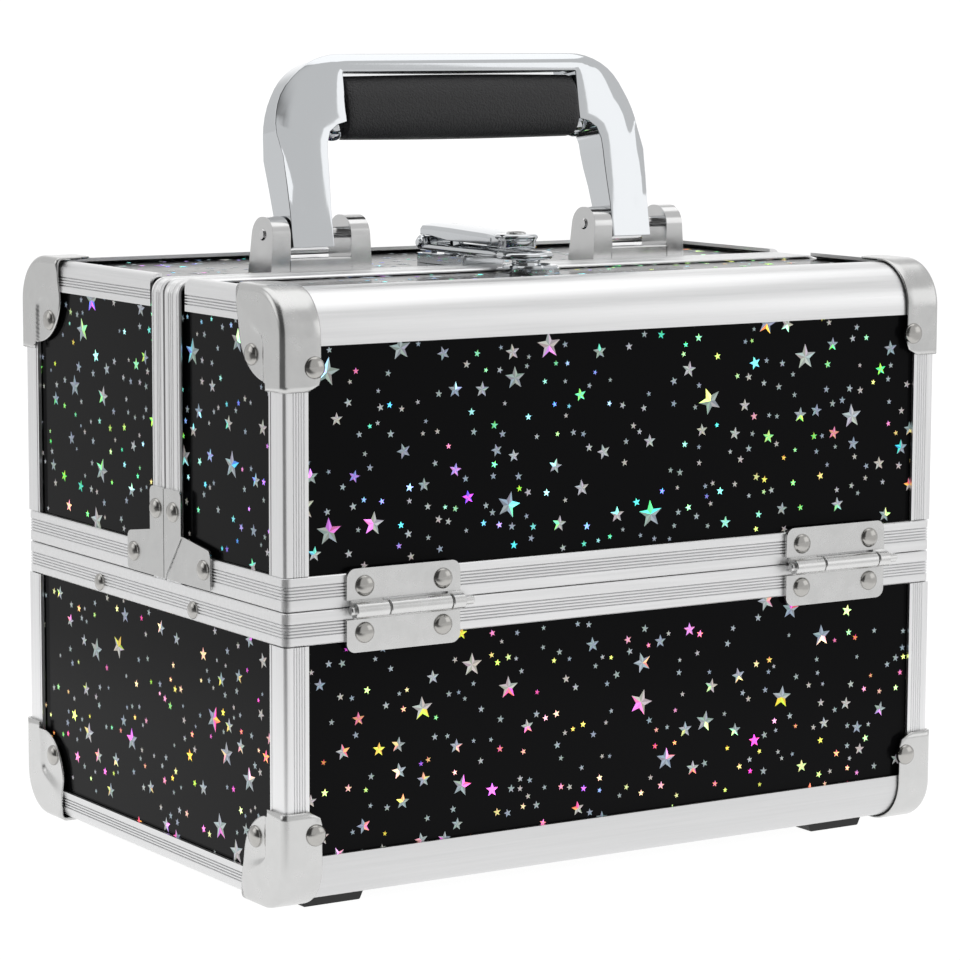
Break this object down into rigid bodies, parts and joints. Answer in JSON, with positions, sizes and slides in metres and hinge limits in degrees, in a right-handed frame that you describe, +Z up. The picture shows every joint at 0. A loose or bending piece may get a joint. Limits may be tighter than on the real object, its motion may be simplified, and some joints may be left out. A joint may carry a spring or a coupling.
{
  "type": "makeup train case",
  "caption": "Aluminium-framed makeup train case with black starred panels: two lids hinged at the long sides, cantilever trays inside, fold-down handle and lever latch.",
  "frame": {"origin": "on the floor under the middle of the case, at the centre of the bounding box's bottom face", "axes": "+X along the case's length and the hinge lines, +Y from the front lid towards the rear lid, +Z up"},
  "size_m": [0.264, 0.1974, 0.2727],
  "materials": {
    "foil_board": "gloss black with small scattered foil stars, mostly silver, some in bright colours",
    "satin_aluminium": "satin silver extrusion, ribbed in places",
    "chrome": "bright nickel-chrome plating",
    "plated_steel": "satin plated pressed steel",
    "zinc_steel": "zinc-plated strip",
    "black_rubber": "matte black",
    "grip_plastic": "fine-grained black",
    "tray_plastic": "plain black"
  },
  "bodies": {
    "case_body": {"body_front_panel": "foil_board", "body_rear_panel": "foil_board", "body_left_panel": "foil_board", "body_right_panel": "foil_board", "body_floor_panel": "foil_board", "body_rim_band": "satin_aluminium", "body_front_frame": "satin_aluminium", "body_rear_frame": "satin_aluminium", "body_left_rail": "satin_aluminium", "body_right_rail": "satin_aluminium", "foot_front_left": "black_rubber", "foot_front_right": "black_rubber", "foot_rear_left": "black_rubber", "foot_rear_right": "black_rubber", "corner_cap_bottom_front_left": "plated_steel", "corner_cap_bottom_front_right": "plated_steel", "corner_cap_bottom_rear_left": "plated_steel", "corner_cap_bottom_rear_right": "plated_steel", "hinge_lower_leaf_front_left": "chrome", "hinge_lower_leaf_front_right": "chrome", "hinge_lower_leaf_rear_left": "chrome", "hinge_lower_leaf_rear_right": "chrome", "pivot_plate_left": "zinc_steel", "pivot_plate_right": "zinc_steel"},
    "rear_lid": {"rear_lid_shell": "foil_board", "rear_lid_rim_band": "satin_aluminium", "rear_lid_frame": "satin_aluminium", "rear_lid_closing_frame": "satin_aluminium", "rear_lid_bracket_left": "plated_steel", "rear_lid_bracket_right": "plated_steel", "corner_cap_top_rear_left": "plated_steel", "corner_cap_top_rear_right": "plated_steel", "hinge_upper_leaf_rear_left": "chrome", "hinge_upper_leaf_rear_right": "chrome", "handle_bracket_left": "chrome", "handle_bracket_right": "chrome", "latch_base": "chrome"},
    "front_lid": {"front_lid_shell": "foil_board", "front_lid_rim_band": "satin_aluminium", "front_lid_frame": "satin_aluminium", "front_lid_closing_frame": "satin_aluminium", "front_lid_bracket_left": "plated_steel", "front_lid_bracket_right": "plated_steel", "corner_cap_top_front_left": "plated_steel", "corner_cap_top_front_right": "plated_steel", "hinge_upper_leaf_front_left": "chrome", "hinge_upper_leaf_front_right": "chrome", "latch_catch": "chrome"},
    "rear_arms": {"rear_tray_arm_left": "zinc_steel", "rear_tray_arm_right": "zinc_steel"},
    "front_arms": {"front_tray_arm_left": "zinc_steel", "front_tray_arm_right": "zinc_steel"},
    "rear_tray_lower": {"rear_tray_lower": "tray_plastic"},
    "rear_tray_upper": {"rear_tray_upper": "tray_plastic"},
    "front_tray_lower": {"front_tray_lower": "tray_plastic"},
    "front_tray_upper": {"front_tray_upper": "tray_plastic"},
    "handle": {"handle_bow": "chrome", "handle_grip": "grip_plastic"},
    "latch_loop": {"latch_loop": "chrome"},
    "latch_lever": {"latch_lever": "chrome"}
  },
  "joints": [
    {"name": "rear_lid_hinge", "type": "hinge", "parent": "case_body", "child": "rear_lid", "pos_m": [0, 0.096, 0.0993], "axis": [-1, 0, 0], "range_deg": [0, 90]},
    {"name": "rear_arm_pivot", "type": "hinge", "parent": "case_body", "child": "rear_arms", "pos_m": [0, 0.076, 0.0953], "axis": [-1, 0, 0], "range_deg": [0, 90]},
    {"name": "rear_tray_lower_pivot", "type": "hinge", "parent": "rear_lid", "child": "rear_tray_lower", "pos_m": [0, 0.07, 0.1283], "axis": [1, 0, 0], "range_deg": [0, 90]},
    {"name": "rear_tray_upper_pivot", "type": "hinge", "parent": "rear_lid", "child": "rear_tray_upper", "pos_m": [0, 0.044, 0.1573], "axis": [1, 0, 0], "range_deg": [0, 90]},
    {"name": "front_lid_hinge", "type": "hinge", "parent": "case_body", "child": "front_lid", "pos_m": [0, -0.096, 0.0993], "axis": [1, 0, 0], "range_deg": [0, 90]},
    {"name": "front_arm_pivot", "type": "hinge", "parent": "case_body", "child": "front_arms", "pos_m": [0, -0.076, 0.0953], "axis": [1, 0, 0], "range_deg": [0, 90]},
    {"name": "front_tray_lower_pivot", "type": "hinge", "parent": "front_lid", "child": "front_tray_lower", "pos_m": [0, -0.07, 0.1283], "axis": [-1, 0, 0], "range_deg": [0, 90]},
    {"name": "front_tray_upper_pivot", "type": "hinge", "parent": "front_lid", "child": "front_tray_upper", "pos_m": [0, -0.044, 0.1573], "axis": [-1, 0, 0], "range_deg": [0, 90]},
    {"name": "handle_pivot", "type": "hinge", "parent": "rear_lid", "child": "handle", "pos_m": [0, 0.0022, 0.2122], "axis": [-1, 0, 0], "range_deg": [0, 80]},
    {"name": "latch_loop_pivot", "type": "hinge", "parent": "rear_lid", "child": "latch_loop", "pos_m": [0, 0.025, 0.206], "axis": [-1, 0, 0], "range_deg": [0, 15]},
    {"name": "latch_lever_pivot", "type": "hinge", "parent": "latch_loop", "child": "latch_lever", "pos_m": [0, 0.025, 0.206], "axis": [-1, 0, 0], "range_deg": [0, 28]}
  ],
  "couplings": [
    {"joint": "rear_arm_pivot", "follows": "rear_lid_hinge", "ratio": 1},
    {"joint": "rear_tray_lower_pivot", "follows": "rear_lid_hinge", "ratio": 1},
    {"joint": "rear_tray_upper_pivot", "follows": "rear_lid_hinge", "ratio": 1},
    {"joint": "front_lid_hinge", "follows": "rear_lid_hinge", "ratio": 1},
    {"joint": "front_arm_pivot", "follows": "rear_lid_hinge", "ratio": 1},
    {"joint": "front_tray_lower_pivot", "follows": "rear_lid_hinge", "ratio": 1},
    {"joint": "front_tray_upper_pivot", "follows": "rear_lid_hinge", "ratio": 1}
  ]
}
